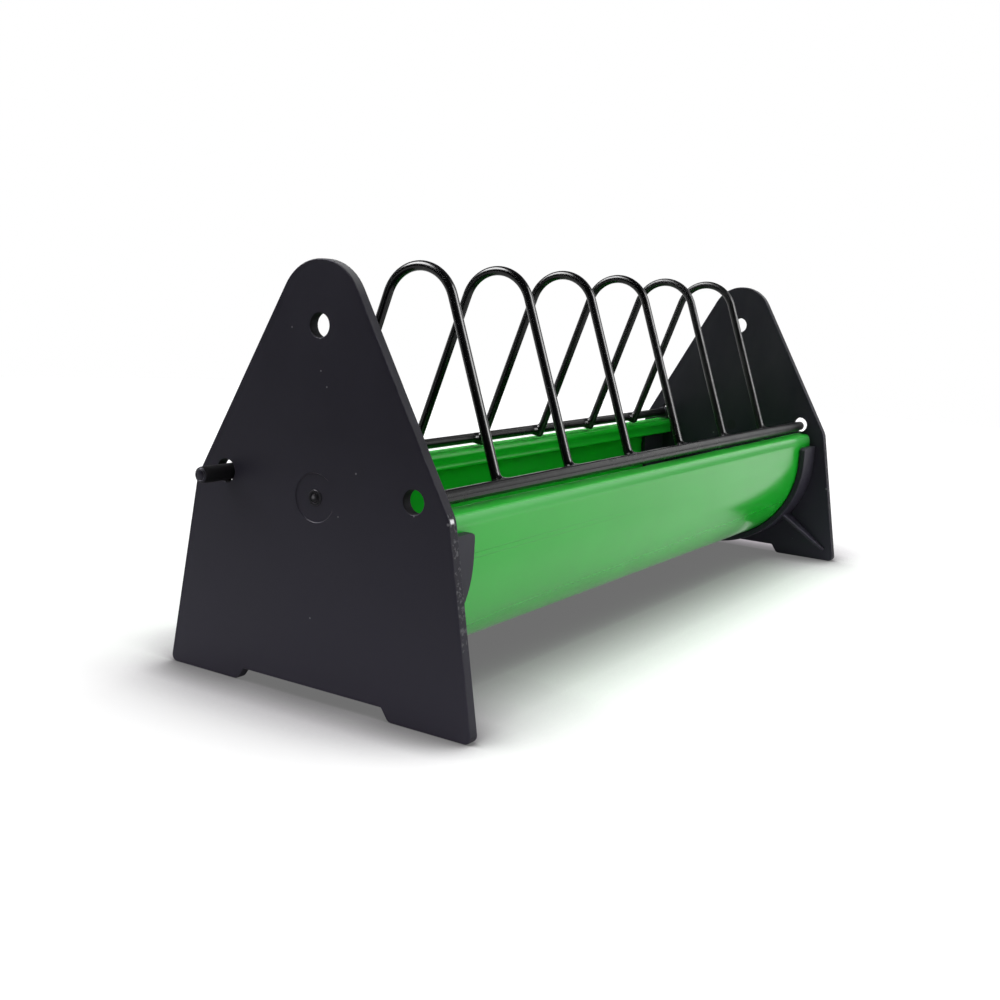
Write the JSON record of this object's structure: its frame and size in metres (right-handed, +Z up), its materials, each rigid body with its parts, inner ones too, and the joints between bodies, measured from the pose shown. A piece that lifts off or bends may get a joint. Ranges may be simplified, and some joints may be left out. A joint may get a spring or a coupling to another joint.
{
  "type": "chick feeder trough",
  "caption": "Low feeding trough for chicks: a round-bottomed channel in two A-shaped end plates, under a hinged rack of wire hoops that keeps birds out of the feed.",
  "frame": {"origin": "on the floor under the middle of the trough", "axes": "+X along the trough to the far end plate, +Y to the back, where the rack is hinged, +Z up"},
  "size_m": [0.32, 0.1082, 0.1224],
  "materials": {
    "trough_green": "extruded green plastic, glossy",
    "plate_black": "injection-moulded black plastic, satin",
    "wire_black": "steel wire with a smooth black plastic coating",
    "sleeve_black": "black plastic, satin"
  },
  "bodies": {
    "base": {"trough": "trough_green", "near_end_plate": "plate_black", "far_end_plate": "plate_black"},
    "pivots": {"near_pivot_sleeve": "sleeve_black", "far_pivot_sleeve": "sleeve_black"},
    "rack": {"front_rail": "wire_black", "back_rail": "wire_black", "hoop_1": "wire_black", "hoop_2": "wire_black", "hoop_3": "wire_black", "hoop_4": "wire_black", "hoop_5": "wire_black", "hoop_6": "wire_black"}
  },
  "joints": [
    {"name": "rack_latch_slide", "type": "slide", "parent": "base", "child": "pivots", "axis": [1, 0, 0], "range_m": [0, 0.0054]},
    {"name": "rack_hinge", "type": "hinge", "parent": "pivots", "child": "rack", "pos_m": [0, 0.033, 0.0602], "axis": [-1, 0, 0], "range_deg": [0, 160]}
  ]
}
